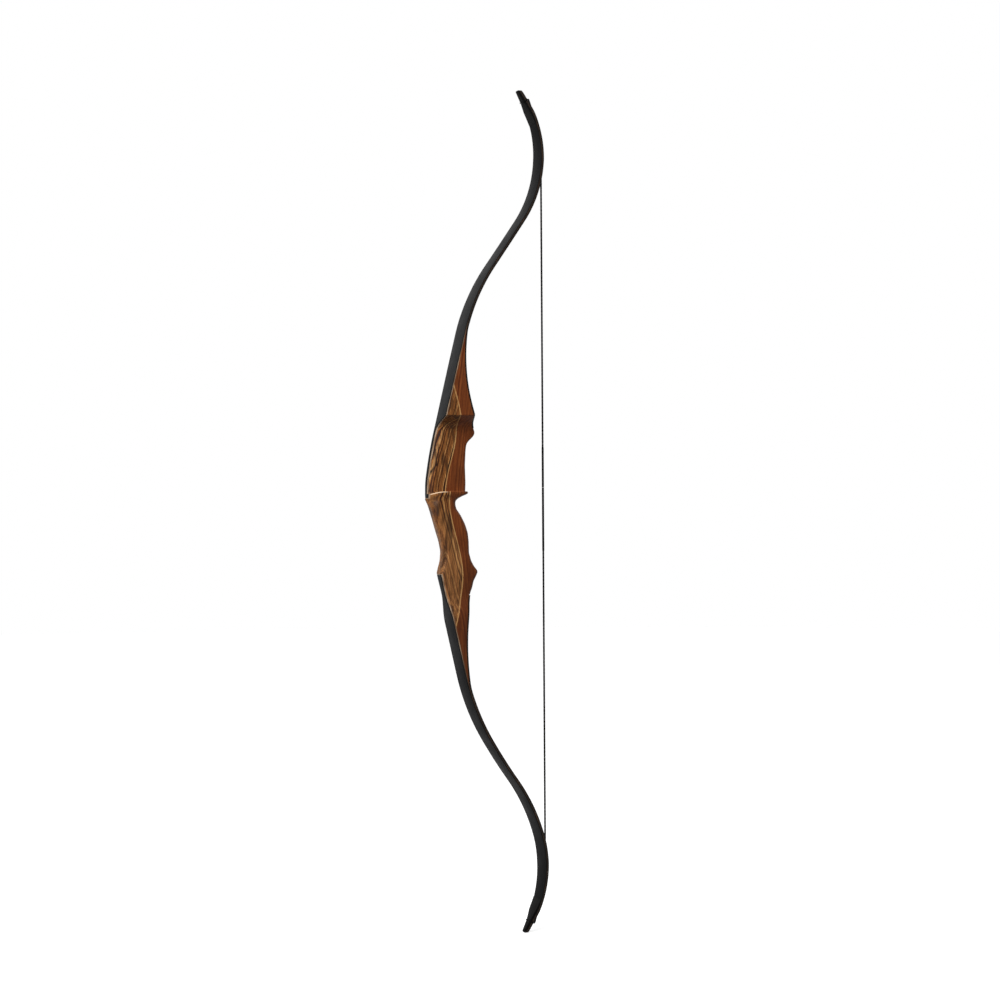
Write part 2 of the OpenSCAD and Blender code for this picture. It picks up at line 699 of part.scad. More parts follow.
module lower_belly_glass_middle() { color(black_glass) limb_lamination(DOWN, 3, 1); }
module lower_back_glass_outer() { color(black_glass) limb_lamination(DOWN, 0, 2); }
module lower_back_core_outer() { color(core_brown) limb_lamination(DOWN, 1, 2); }
module lower_belly_core_outer() { color(core_brown) limb_lamination(DOWN, 2, 2); }
module lower_belly_glass_outer() { color(black_glass) limb_lamination(DOWN, 3, 2); }
module lower_tip_overlay() { color(tip_black) overlay(DOWN); }
module lower_nock_loop() { color(thread) loop(DOWN); }
module lower_loop_legs() { color(thread) legs(DOWN); }
module lower_loop_serving() { color(thread) served_link(DOWN); }
module lower_string() { color(thread) bare_string(DOWN); }
module lower_centre_serving() { color(thread) served_middle(DOWN); }

riser_back_block();
riser_accent_stripe();
riser_belly_block();
upper_back_glass_root();
upper_back_core_root();
upper_belly_core_root();
upper_belly_glass_root();
upper_back_glass_inner();
upper_back_core_inner();
upper_belly_core_inner();
upper_belly_glass_inner();
upper_back_glass_middle();
upper_back_core_middle();
upper_belly_core_middle();
upper_belly_glass_middle();
upper_back_glass_outer();
upper_back_core_outer();
upper_belly_core_outer();
upper_belly_glass_outer();
upper_tip_overlay();
upper_nock_loop();
upper_loop_legs();
upper_loop_serving();
upper_string();
upper_centre_serving();
lower_back_glass_root();
lower_back_core_root();
lower_belly_core_root();
lower_belly_glass_root();
lower_back_glass_inner();
lower_back_core_inner();
lower_belly_core_inner();
lower_belly_glass_inner();
lower_back_glass_middle();
lower_back_core_middle();
lower_belly_core_middle();
lower_belly_glass_middle();
lower_back_glass_outer();
lower_back_core_outer();
lower_belly_core_outer();
lower_belly_glass_outer();
lower_tip_overlay();
lower_nock_loop();
lower_loop_legs();
lower_loop_serving();
lower_string();
lower_centre_serving();
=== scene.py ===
# A strung one-piece recurve bow, built up in the order in which a bowyer glues and shapes it.
import math

import bmesh
import bpy
from mathutils import Matrix, Vector


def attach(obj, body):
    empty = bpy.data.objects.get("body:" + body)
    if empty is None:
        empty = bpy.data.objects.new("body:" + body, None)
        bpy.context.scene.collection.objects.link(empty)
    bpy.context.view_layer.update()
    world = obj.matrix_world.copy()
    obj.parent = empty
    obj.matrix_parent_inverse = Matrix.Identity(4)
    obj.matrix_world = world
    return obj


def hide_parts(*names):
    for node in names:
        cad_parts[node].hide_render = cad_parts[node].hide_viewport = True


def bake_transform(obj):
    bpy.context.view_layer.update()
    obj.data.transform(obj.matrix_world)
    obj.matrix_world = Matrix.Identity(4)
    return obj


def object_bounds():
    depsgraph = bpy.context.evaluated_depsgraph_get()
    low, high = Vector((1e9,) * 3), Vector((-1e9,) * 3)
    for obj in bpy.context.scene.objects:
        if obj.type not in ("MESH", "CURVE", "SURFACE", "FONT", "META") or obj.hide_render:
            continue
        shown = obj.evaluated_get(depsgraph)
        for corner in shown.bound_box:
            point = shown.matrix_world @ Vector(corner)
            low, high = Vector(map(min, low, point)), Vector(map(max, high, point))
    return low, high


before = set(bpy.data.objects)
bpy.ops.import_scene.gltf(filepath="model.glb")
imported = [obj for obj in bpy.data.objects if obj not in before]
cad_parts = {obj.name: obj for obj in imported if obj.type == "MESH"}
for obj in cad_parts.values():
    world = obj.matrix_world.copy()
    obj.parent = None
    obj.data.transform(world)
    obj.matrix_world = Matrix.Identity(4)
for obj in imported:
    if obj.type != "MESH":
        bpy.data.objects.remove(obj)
solid_box = [list(corner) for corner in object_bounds()]

# The form. Both limbs are pressed on a form whose line is a chain of straight and round runs,
# in millimetres and degrees from the riser to the tip. Depth is measured from the black face
# on the back of the bow toward the archer, and heights of the lower limb are counted downward.
form_runs = {
    "upper": [
        (6, 0), (116, 8.5), (168, 0), (132, 21.5), (98.5, -1), (105, -29.5), (98, -31.5), (36, -6),
    ],
    "lower": [(179, 0), (124, 18), (85.5, 5), (108, -19.5), (117, -35), (58, -12)],
}
form_start = {"upper": (-50.1, 8.0, 5.5), "lower": (-31.177, 120.0, 13.0)}
fade_s = {"upper": 306.0, "lower": 212.0}
tip_s = {"upper": 759.5, "lower": 671.5}
up_or_down = {"upper": 1, "lower": -1}
glass, core, glue = 1.1, 1.65, 0.05
mid_depth, limb_depth = glass + core, 2 * (glass + core)


def run_end(x, z, heading, length, turn):
    """Where a straight or round run ends, and how it is headed there."""
    after = heading + math.radians(turn)
    if abs(turn) < 0.001:
        return x + length * math.sin(heading), z + length * math.cos(heading), after
    bend = length / math.radians(turn)
    return (
        x + bend * (math.cos(heading) - math.cos(after)),
        z + bend * (math.sin(after) - math.sin(heading)),
        after,
    )


def follow(runs, s, x, z, heading, way=1):
    """The place and heading at a length along a chain of runs."""
    for count, (length, turn) in enumerate(runs):
        part = s if count == len(runs) - 1 else min(s, length)
        x, z, heading = run_end(x, z, heading, way * part, way * turn * part / length)
        s -= part
        if s <= 0:
            break
    return x, z, heading


def on_form(limb, s, depth=0.0):
    x, z, lean = form_start[limb]
    x, z, heading = follow(form_runs[limb], s, x, z, math.radians(lean))
    return x + depth * math.cos(heading), z - depth * math.sin(heading), heading


def crossed_at(near, beyond, is_before):
    """Halve the way from near to beyond, down to the place up to which is_before() holds."""
    for _ in range(40):
        middle = (near + beyond) / 2
        near, beyond = (middle, beyond) if is_before(middle) else (near, middle)
    return near


def form_s_at(limb, z, depth=0.0):
    """The length along the form at which a given depth has reached height z."""
    return crossed_at(-10.0, 420.0, lambda s: on_form(limb, s, depth)[1] < z)


# The riser outlines. A block is shaped to a side profile, a width and a roundness of its corners,
# each read off at the height. The belly of the riser runs into a ramp for the belly boards.
ramp_runs = {"upper": [(15, 9), (120, 22), (45, 5)], "lower": [(20, 10), (150, 18.5)]}
ramp_length = {"upper": 180.0, "lower": 170.0}
blunt_end = 9.0


def on_ramp(limb, u, depth=0.0):
    """Below the fade: depth 0 is the face of the belly block, and more is toward the archer."""
    x, z, heading = on_form(limb, fade_s[limb], mid_depth)
    x, z, heading = follow(ramp_runs[limb], u, x, z, heading, way=-1)
    return x + depth * math.cos(heading), z - depth * math.sin(heading), heading


def read_off(z, table):
    if z <= table[0][0]:
        return table[0][1]
    for (z0, v0), (z1, v1) in zip(table, table[1:]):
        if z <= z1:
            return v0 + (v1 - v0) * (z - z0) / (z1 - z0)
    return table[-1][1]


def faired(z, table, reach):
    """A table's value with its corners sanded round over a reach to each side."""
    return sum(read_off(z + reach * k / 4, table) for k in range(-4, 5)) / 9


def spaced(a, b, step):
    count = max(1, math.ceil(abs(b - a) / step))
    return [a + (b - a) * k / count for k in range(count + 1)]


# The angles at which a quarter round and the half round of a groove are drawn.
quarter_turn = [math.radians(15 * k) for k in range(7)]
groove_turn = [math.radians(15 * k) for k in range(-6, 7)]

ramp_end_z = {limb: on_ramp(limb, ramp_length[limb])[1] + 0.8 for limb in ramp_runs}
block_end_z = {limb: on_ramp(limb, blunt_end)[1] for limb in ramp_runs}
core_face = {
    limb: [on_form(limb, s, mid_depth)[1::-1] for s in spaced(0, fade_s[limb], 4)]
    for limb in form_runs
}
ramp_face = {
    limb: [on_ramp(limb, u)[1::-1] for u in reversed(spaced(0, ramp_length[limb], 3))]
    for limb in form_runs
}
shelf_z, shelf_fall_x, shelf_drop = 20.5, -26.0, 6.0
window_y, window_top, cove_r, cove_turn = 4.0, 123.0, 20.0, math.radians(57)
limb_half, grip_half = 21.5, 14.5
stripe_half, thinnest = 1, 0.02
waist = [
    (-200, limb_half), (-190, 21.0), (-180, 18.5), (-170, 15.0), (-158, 12.5), (-140, 13.5),
    (-125, grip_half),
]
far_widths = waist + [(-8, grip_half), (18, 18.0), (40, limb_half)]
near_widths = waist + [(-8, grip_half), (8, 15.0), (17, 19.5)]
cove_bend = (
    window_top + cove_r * math.sin(cove_turn),
    window_y - cove_r * (1 - math.cos(cove_turn)),
)
cove_end = cove_bend[0] + (cove_bend[1] + limb_half) / math.tan(cove_turn)
back_profile = [
    (-120, -31.7), (-110, -29.5), (-99, -26.5), (-82, -25), (-64, -28.5), (-47, -34), (-30, -39),
    (-12, -44.5), (5, -50), (8, -50.1),
]
belly_profile = [
    (-ramp_end_z["lower"], on_ramp("lower", ramp_length["lower"] - 0.5, mid_depth)[0]),
    (-145, 28), (-133, 30.5), (-124, 35), (-116, 38), (-108, 31.5), (-98, 26.5), (-85, 22.8),
    (-65, 22.5), (-50, 21), (-35, 16), (-20, 8.5), (-8, 0.3), (0, -1.8), (5, -0.6), (10, 5.5),
    (14.5, 15), (17.5, 23.5), (20, 22), (35, 22.8), (65, 21.8), (92, 23.3), (102, 24.8),
    (108, 29.3), (113, 35.4), (118, 39.6), (123, 40.4),
    (ramp_end_z["upper"], on_ramp("upper", ramp_length["upper"] - 0.5, mid_depth)[0]),
]

# Radii of the four corners by height. The near ones are larger under the shelf and beside it,
# where a bowyer rounds away the wood that an arrow or a knuckle would touch.
shelf_corner, window_corner = 26, 13
shelf_belly_corner, window_belly_corner = 20, 4
low_back_round = [
    (-205, 0), (-200, 1), (-190, 3), (-180, 5), (-170, 6), (-158, 8), (-142, 8), (-125, 8),
    (-108, 9), (-95, 10),
]
low_belly_round = [
    (-160, 3), (-150, 8), (-130, 8), (-116, 6), (-100, 9), (-30, 11), (-8, 13), (2, 13),
]
back_round = low_back_round + [(0, 10), (14, 5), (30, 3), (150, 3), (200, 1.5), (280, 0)]
near_back_round = low_back_round + [
    (-20, 10), (-4, 13), (6, 23), (14, shelf_corner), (shelf_z + 0.2, shelf_corner),
    (shelf_z + 0.3, window_corner), (window_top + 4, window_corner), (cove_end, 3), (200, 1.5),
    (280, 0),
]
belly_round = low_belly_round + [(10, 7), (20, 4), (150, 4), (166, 3)]
near_belly_round = low_belly_round + [
    (10, 12), (17, 11), (shelf_z + 0.2, shelf_belly_corner),
    (shelf_z + 0.3, window_belly_corner), (150, 4), (166, 3),
]


def limb_at(z):
    return "upper" if z > 0 else "lower"


def bare_back_x(z):
    return faired(z, back_profile, 4)


def back_x(z):
    if z > form_start["upper"][1] or z < -form_start["lower"][1]:
        return read_off(abs(z), core_face[limb_at(z)]) + glue
    return bare_back_x(z)


def belly_x(z):
    if abs(z) > ramp_end_z[limb_at(z)] + 0.1:
        return read_off(abs(z), ramp_face[limb_at(z)]) - glue
    return faired(z, belly_profile, 3)


def stripe_x(z):
    """The accent stripe swings in a long S, farthest back at the arrow shelf."""
    swing, length = (21, 118) if z > 12 else (24, 138)
    return -16 + swing / 2 * (1 - math.cos(math.pi * (z - 12) / length))


def stripe_ends():
    """Heights at which the faces of the stripe run out on the boards, above and below."""
    ends = []
    for low, high in ((150.0, 240.0), (-150.0, -240.0)):
        for half in (-stripe_half, stripe_half):
            end = crossed_at(low, high, lambda z: stripe_x(z) + half > back_x(z))
            ends += [end - 0.1, end, end + 0.1]
    return ends


def far_y(z):
    return faired(z, far_widths, 6)


def near_low_y(z):
    return -faired(z, near_widths, 3)


def shelf_sink(x, z):
    """How far the crown of the arrow shelf lowers the wood at x, fading out above and below."""
    away = max(0.0, 1 - abs(z - shelf_z) / (26 if z < shelf_z else 34))
    fall = max(0.0, (shelf_fall_x - x) / (shelf_fall_x - form_start["upper"][0]))
    return shelf_drop * fall**2 * away * away * (3 - 2 * away)


def level_landing_at(height):
    """The level on the back that the crown of the shelf lowers to a height."""
    back = form_start["upper"][0]
    return crossed_at(height, height + shelf_drop, lambda z: z - shelf_sink(back, z) < height)


glass_level = level_landing_at(form_start["upper"][1])


def near_side():
    """Heights, near edge and near corner radii of the riser's sections, from the lower fade up:
    grip, rounded shelf rim, shelf, window face, cove and brow."""
    rim, fillet, brow = 1.5, 1.5, 1.2
    board_ends = [-121.8, -121.7, -120.05, -119.95, glass_level - 0.05, glass_level + 0.05]
    levels = spaced(-block_end_z["lower"], -205, 8) + spaced(-205, -122.5, 2.5)[1:]
    levels += spaced(-119, 8, 2) + spaced(9, shelf_z - rim - 0.2, 1.2)
    levels += board_ends + [z for z in stripe_ends() if z < 0]
    path = [
        (z, near_low_y(z), faired(z, near_back_round, 1.5), faired(z, near_belly_round, 1.5))
        for z in sorted(levels)
    ]

    ledge = near_low_y(shelf_z)
    for a in quarter_turn:
        z, inset = shelf_z - rim + rim * math.sin(a), rim * (1 - math.cos(a))
        path.append((z, ledge + inset, shelf_corner - inset, shelf_belly_corner - inset))
    start, stop = ledge + rim, window_y - fillet
    for k in range(1, 5):
        level, y = shelf_z + 0.02 * k, start + (stop - start) * k / 5
        path.append((level, y, 24 - 2.2 * k, 18 - 2.8 * k))
    for a in quarter_turn:
        z, y = shelf_z + 0.1 + fillet * (1 - math.cos(a)), stop + fillet * math.sin(a)
        path.append((z, y, window_corner + (window_y - y), window_belly_corner + (window_y - y)))
    face = [(z, window_y) for z in spaced(shelf_z + 3, window_top, 3)]
    for k in range(1, 13):
        a = cove_turn * k / 12
        face.append((window_top + cove_r * math.sin(a), window_y - cove_r * (1 - math.cos(a))))
    (z, y), lean = face[-1], 1 / math.tan(cove_turn)
    last = brow - limb_half
    face += [(z + (y - last) * k / 4 * lean, y + (last - y) * k / 4) for k in range(1, 5)]
    (z, y), edge_z = face[-1], face[-1][0] + brow * lean
    for k in range(1, 6):
        t = k / 5
        face.append((
            z * (1 - t) ** 2 + 2 * edge_z * t * (1 - t) + (edge_z + brow) * t * t,
            y * (1 - t) ** 2 - limb_half * (1 - (1 - t) ** 2),
        ))
    above = spaced(face[-1][0] + 1, block_end_z["upper"], 4) + [z for z in stripe_ends() if z > 0]
    face += [(z, -limb_half) for z in sorted(above)]
    return path + [
        (z, y, faired(z, near_back_round, 2), faired(z, near_belly_round, 2)) for z, y in face
    ]


riser_levels = near_side()


# The riser blocks. Three blanks are glued up with the thin pale stripe between the striped back
# block and the reddish belly block, then band-sawn and sanded to the profile, the grip, the
# crowned arrow shelf and the sight window with its cove.
def place(x, y, z):
    return Vector((x, y, z)) * 0.001


def on_bow(limb, spot):
    """A place beside the form, whose heights count toward the tip, put where its limb is."""
    return place(spot[0], spot[1], spot[2] * up_or_down[limb])


def drawn_out(sections):
    """Stretch one closed section through all the others in turn and close both ends."""
    made = bmesh.new()
    ring = [made.verts.new(point) for point in sections[0]]
    made.faces.new(ring)
    for section in sections[1:]:
        old = set(ring)
        edges = [made.edges.get(pair) for pair in zip(ring, ring[1:] + ring[:1])]
        new = bmesh.ops.extrude_edge_only(made, edges=edges)["geom"]
        after = {}
        for vert in new:
            if isinstance(vert, bmesh.types.BMVert):
                for edge in vert.link_edges:
                    if edge.other_vert(vert) in old:
                        after[edge.other_vert(vert)] = vert
        ring = [after[vert] for vert in ring]
        for vert, point in zip(ring, section):
            vert.co = point
    made.faces.new(ring)
    return made


def piece(name, made, material, sharp=40):
    """Turn a finished bmesh into an object with soft shading between its sharp edges."""
    bmesh.ops.recalc_face_normals(made, faces=made.faces)
    mesh = bpy.data.meshes.new(name)
    made.to_mesh(mesh)
    made.free()
    mesh.shade_smooth()
    mesh.set_sharp_from_angle(angle=math.radians(sharp))
    mesh.materials.append(material)
    shown = bpy.data.objects.new(name, mesh)
    bpy.context.scene.collection.objects.link(shown)
    return shown


def corner(radius, deep, cover):
    """A rounded corner as depth below the outer face and distance in from the side, side last."""
    radius = max(min(radius, deep * 0.85 + cover), cover + min(0.6, deep * 0.4))
    first = math.acos(1 - cover / radius)
    turn = [first + (math.pi / 2 - first) * k / 11 for k in range(12)]
    return [(radius * (1 - math.cos(a)), radius * (1 - math.sin(a))) for a in turn]


def block_section(z, near, x0, x1, near_radius, far_radius, cover):
    """One level of a block: a flat glued face at x0 and a face at x1 with both corners rounded."""
    way = 1 if x1 > x0 else -1
    outer, far, deep = x1 + way * cover, far_y(z), abs(x1 - x0)
    flat = [(x0, near)]
    rounded = reversed(corner(near_radius, deep, cover))
    flat += [(outer - way * d, near + side) for d, side in rounded]
    flat += [(outer - way * d, far - side) for d, side in corner(far_radius, deep, cover)]
    flat += [(x0, far)]
    return [place(x, y, z - shelf_sink(x, z)) for x, y in flat]


def sunk(face_x, z):
    """A face's x where the crown of the shelf has lowered the wood."""
    return face_x(z - shelf_sink(face_x(z), z))


def node(tree, kind, inputs=None, **settings):
    made = tree.nodes.new("ShaderNode" + kind)
    for key, value in settings.items():
        setattr(made, key, value)
    for key, value in (inputs or {}).items():
        if isinstance(value, bpy.types.NodeSocket):
            tree.links.new(value, made.inputs[key])
        else:
            made.inputs[key].default_value = value
    return made


def maths(tree, operation, *values):
    return node(tree, "Math", dict(enumerate(values)), operation=operation).outputs[0]


def stretched(tree, vector, factors):
    return node(tree, "VectorMath", {0: vector, 1: factors}, operation="MULTIPLY").outputs[0]


def noise(tree, vector, scale, detail, rough=0.5):
    inputs = {"Vector": vector, "Scale": scale, "Detail": detail, "Roughness": rough}
    return node(tree, "TexNoise", inputs).outputs[0]


def remap(tree, value, start, end, low=0.0, high=1.0, curve="LINEAR"):
    inputs = {0: value, 1: start, 2: end, 3: low, 4: high}
    return node(tree, "MapRange", inputs, interpolation_type=curve).outputs[0]


def smooth_range(tree, value, start, end, top=1.0):
    return remap(tree, value, start, end, 0.0, top, "SMOOTHSTEP")


def times(tree, *values):
    product = values[0]
    for value in values[1:]:
        product = maths(tree, "MULTIPLY", product, value)
    return product


def tint(code):
    """A colour as it is seen, such as 6b4a2e, in Blender's linear values."""
    parts = [int(code[k : k + 2], 16) / 255 for k in (0, 2, 4)]
    return tuple(c / 12.92 if c < 0.04045 else ((c + 0.055) / 1.055) ** 2.4 for c in parts) + (1.0,)


def ramp(tree, factor, stops):
    made = node(tree, "ValToRGB", {0: factor})
    bar = made.color_ramp.elements
    while len(bar) < len(stops):
        bar.new(0.5)
    for stop, (at, code) in zip(bar, stops):
        stop.position, stop.color = at, tint(code)
    return made.outputs[0]


def group_of(name, inputs, outputs):
    """An empty node group with named sockets, and its input and output nodes."""
    group = bpy.data.node_groups.new(name, "ShaderNodeTree")
    new_socket = group.interface.new_socket
    for label, kind, value in inputs:
        socket = new_socket(name=label, in_out="INPUT", socket_type="NodeSocket" + kind)
        if value is not None:
            socket.default_value = value
    for label, kind in outputs:
        new_socket(name=label, in_out="OUTPUT", socket_type="NodeSocket" + kind)
    given, wanted = group.nodes.new("NodeGroupInput"), group.nodes.new("NodeGroupOutput")
    return group, given.outputs, wanted.inputs


def wood_grain():
    """Growth layers round a heart beside the bow, bent at the grip and wavy along the grain,
    with fibres and pores."""
    group, given, wanted = group_of(
        "wood_grain",
        [("Place", "Vector", None), ("Heart", "Vector", (0.0, 0.15, 0.0)),
         ("Layer", "Float", 0.001), ("Wander", "Float", 0.003), ("Ripple", "Float", 0.001),
         ("Lean", "Float", 0.0), ("Seed", "Vector", (0.0, 0.0, 0.0))],
        [("Layers", "Float"), ("Cloud", "Float"), ("Fibres", "Float"), ("Pores", "Float"),
         ("Height", "Float")],
    )

    def figure(factors, detail, rough=0.5):
        return noise(group, stretched(group, moved, factors), 1.0, detail, rough)

    def plus(value, factor, add):
        return maths(group, "MULTIPLY_ADD", value, factor, add)

    where = given["Place"]
    moved = node(group, "VectorMath", {0: where, 1: given["Seed"]}).outputs[0]
    from_heart = node(group, "VectorMath", {0: where, 1: given["Heart"]}, operation="SUBTRACT")
    flat = stretched(group, from_heart.outputs[0], (1, 1, 0.02))
    away = node(group, "VectorMath", {0: flat}, operation="LENGTH").outputs["Value"]
    height = plus(node(group, "SeparateXYZ", {0: where}).outputs["Z"], 1.0, -0.02)
    away = plus(maths(group, "POWER", plus(height, height, 0.0003), 0.5), given["Lean"], away)
    away = plus(plus(figure((40, 40, 9), 1.5), 1.0, -0.5), given["Wander"], away)
    away = plus(plus(figure((140, 140, 32), 2.0), 1.0, -0.5), given["Ripple"], away)
    turns = maths(group, "DIVIDE", away, given["Layer"])
    rings = {"W": turns, "Scale": 1.0, "Detail": 2.0, "Roughness": 0.6}
    fibres = figure((560, 560, 15), 4.0, 0.62)
    pores = remap(group, figure((2600, 2600, 170), 1.0), 0.58, 0.7)
    results = {
        "Layers": node(group, "TexNoise", rings, noise_dimensions="1D").outputs[0],
        "Cloud": figure((120, 120, 24), 2.0), "Fibres": fibres, "Pores": pores,
        "Height": plus(pores, -0.6, fibres),
    }
    for label, value in results.items():
        group.links.new(value, wanted[label])
    return group


def satin_finish():
    """Rubbed lacquer: a soft unevenness in the gloss and a faint orange peel."""
    group, given, wanted = group_of(
        "satin_finish",
        [("Place", "Vector", None), ("Gloss low", "Float", 0.3), ("Gloss high", "Float", 0.42)],
        [("Roughness", "Float"), ("Height", "Float")],
    )
    wide = noise(group, given["Place"], 38.0, 3.0)
    rough = remap(group, wide, 0.3, 0.7, given["Gloss low"], given["Gloss high"])
    group.links.new(rough, wanted["Roughness"])
    group.links.new(noise(group, given["Place"], 900.0, 1.0), wanted["Height"])
    return group


def dark_streak():
    """A mask along a wavering line from one place to another, as seen from the side."""
    group, given, wanted = group_of(
        "dark_streak",
        [("Place", "Vector", None), ("From", "Vector", (0.0, 0.0, 0.0)),
         ("To", "Vector", (0.0, 0.0, 0.01)), ("Width", "Float", 0.002)],
        [("Mask", "Float")],
    )

    def vector(operation, a, b, output=0, **more):
        made = node(group, "VectorMath", {0: a, 1: b}, operation=operation)
        for key, value in more.items():
            group.links.new(value, made.inputs[key])
        return made.outputs[output]

    coarse = stretched(group, given["Place"], (70, 70, 28))
    waver = node(group, "TexNoise", {"Vector": coarse, "Scale": 1.0, "Detail": 2.0}).outputs
    waver = vector("SUBTRACT", waver["Color"], (0.5, 0.5, 0.5))
    waver = stretched(group, waver, (0.006, 0, 0.006))
    start = vector("SUBTRACT", vector("ADD", given["Place"], waver), given["From"])
    start = stretched(group, start, (1, 0, 1))
    along = vector("SUBTRACT", given["To"], given["From"])
    lengths = {0: vector("DOT_PRODUCT", start, along, 1), 1: vector("DOT_PRODUCT", along, along, 1)}
    share = node(group, "Math", lengths, operation="DIVIDE", use_clamp=True).outputs[0]
    beside = vector("SUBTRACT", start, vector("SCALE", along, (0, 0, 0), Scale=share))
    gap = vector("LENGTH", beside, (0, 0, 0), 1)
    group.links.new(smooth_range(group, gap, given["Width"], 0.0), wanted["Mask"])
    return group


grain, satin, streak_of = wood_grain(), satin_finish(), dark_streak()


def skinned(tree, colour, roughness, specular, relief, strength, deep):
    """The surface itself: a colour, a gloss and a relief of a given depth."""
    bump = node(tree, "Bump", {"Height": relief, "Strength": strength, "Distance": deep}).outputs[0]
    skin = node(tree, "BsdfPrincipled", {
        "Base Color": colour, "Roughness": roughness, "Normal": bump,
        "Specular IOR Level": specular,
    })
    tree.links.new(skin.outputs[0], node(tree, "OutputMaterial").inputs[0])


def lacquered(tree, where, colour, relief, gloss, strength, specular):
    """The skin of a piece under rubbed lacquer."""
    lacquer = node(tree, "Group", {"Gloss low": gloss[0], "Gloss high": gloss[1]}, node_tree=satin)
    tree.links.new(where, lacquer.inputs["Place"])
    both = maths(tree, "ADD", relief, lacquer.outputs["Height"])
    skinned(tree, colour, lacquer.outputs["Roughness"], specular, both, strength, 0.0003)


def new_material(name):
    made = bpy.data.materials.new(name)
    made.use_nodes = True
    made.node_tree.nodes.clear()
    return made, made.node_tree, node(made.node_tree, "TexCoord").outputs["Object"]


def mixed(tree, share, colour, code):
    return node(tree, "Mix", {0: share, 6: colour, 7: tint(code)}, data_type="RGBA").outputs[2]


def crown_fall(tree, x):
    """How far the crown of the shelf has fallen at x."""
    share = remap(tree, x, shelf_fall_x * 0.001, form_start["upper"][0] * 0.001)
    return times(tree, share, share, shelf_drop * 0.001)


def rim_highlight_mask(tree, axes):
    """A mask for a painted highlight along the rounded rim of the arrow shelf, toward the back."""
    normal = node(tree, "TexCoord").outputs["Normal"]
    up = node(tree, "SeparateXYZ", {0: normal}).outputs["Z"]
    level = maths(tree, "ADD", axes["Z"], crown_fall(tree, axes["X"]))
    return times(
        tree, smooth_range(tree, level, 0.0184, 0.0196), smooth_range(tree, level, 0.0209, 0.0206),
        smooth_range(tree, up, 0.97, 0.75), smooth_range(tree, axes["Y"], -0.002, -0.006),
        smooth_range(tree, axes["X"], -0.017, -0.025, 0.85),
    )


def wood(name, stops, figure, dark, streaks, tone_and_shade_by_height=None, marks=(), rim=False):
    """A sanded and lacquered wood: its colours by growth layer, darkened by fibres and pores.
    figure is its heart, layer, wander, ripple, lean and seed."""
    made, tree, where = new_material(name)
    grown = node(tree, "Group", node_tree=grain)
    tree.links.new(where, grown.inputs["Place"])
    for label, value in zip(("Heart", "Layer", "Wander", "Ripple", "Lean", "Seed"), figure):
        grown.inputs[label].default_value = value
    shown = grown.outputs
    colour = ramp(tree, shown["Layers"], stops)
    axes = node(tree, "SeparateXYZ", {0: where}).outputs
    if tone_and_shade_by_height:
        both_ways, start, end, code, share = tone_and_shade_by_height
        height = maths(tree, "ABSOLUTE", axes["Z"]) if both_ways else axes["Z"]
        colour = mixed(tree, smooth_range(tree, height, start, end, share), colour, code)
    colour = mixed(tree, smooth_range(tree, shown["Cloud"], 0.5, 0.68, streaks), colour, dark)
    colour = mixed(tree, remap(tree, shown["Fibres"], 0.4, 0.64, 0.0, streaks), colour, dark)
    for (x0, z0), (x1, z1), width, code, share in marks:
        line = {"From": (x0, 0, z0), "To": (x1, 0, z1), "Width": width}
        mark = node(tree, "Group", line, node_tree=streak_of)
        tree.links.new(where, mark.inputs["Place"])
        colour = mixed(tree, times(tree, mark.outputs[0], share), colour, code)
    colour = mixed(tree, times(tree, shown["Pores"], 0.5), colour, pore_dark)
    # A painted highlight: a pale line along the rounded rim of the arrow shelf.
    if rim:
        colour = mixed(tree, rim_highlight_mask(tree, axes), colour, rim_highlight_pale)
    lacquered(tree, where, colour, shown["Height"], (0.4, 0.52), 0.14, 0.1)
    return made


pore_dark, rim_highlight_pale, crack_dark = "1a0c05", "e6c8a6", "170b06"
striped = wood(
    "striped_brown_wood",
    [(0.34, "241006"), (0.41, "522a12"), (0.46, "96592c"), (0.51, "b87c42"), (0.55, "63371a"),
     (0.61, "bb8049"), (0.7, "d49e62")],
    ((0.17, 0.155, 0.0), 0.0027, 0.006, 0.0009, 0.22, (0.31, 0.12, 0.07)), "28140a", 0.72,
    # Lighter from the grip down; rim=True adds the painted highlight along the shelf's rim.
    tone_and_shade_by_height=(False, 0.01, -0.05, "b9875a", 0.24), rim=True,
    marks=[
        ((-0.0335, 0.093), (-0.032, 0.066), 0.0034, crack_dark, 0.85),
        ((-0.032, 0.066), (-0.041, 0.054), 0.0032, crack_dark, 0.85),
        ((-0.041, 0.054), (-0.046, 0.04), 0.003, crack_dark, 0.8),
        # A dark patch in the hollow under the arrow shelf: partly the wood's figure, partly painted
        # shade.
        ((-0.042, 0.008), (-0.039, -0.016), 0.0085, "2c2320", 0.62),
    ],
)
reddish = wood(
    "reddish_wood", [(0.3, "5c2a12"), (0.45, "733b1c"), (0.58, "7e4420"), (0.72, "8c4f28")],
    ((0.26, 0.1, 0.0), 0.0034, 0.007, 0.001, 0.12, (0.9, 0.4, 0.2)), "3d1a0a", 0.42,
    # Painted shade: darker toward the bottom of the riser, where less light falls from above.
    tone_and_shade_by_height=(False, -0.06, -0.13, "2c170d", 0.36),
)
pale = wood(
    "pale_stripe_wood", [(0.3, "a87646"), (0.5, "bf905a"), (0.7, "cda068")],
    ((0.2, 0.3, 0.0), 0.002, 0.004, 0.001, 0.2, (0.2, 0.8, 0.5)), "8a5f3a", 0.3,
)


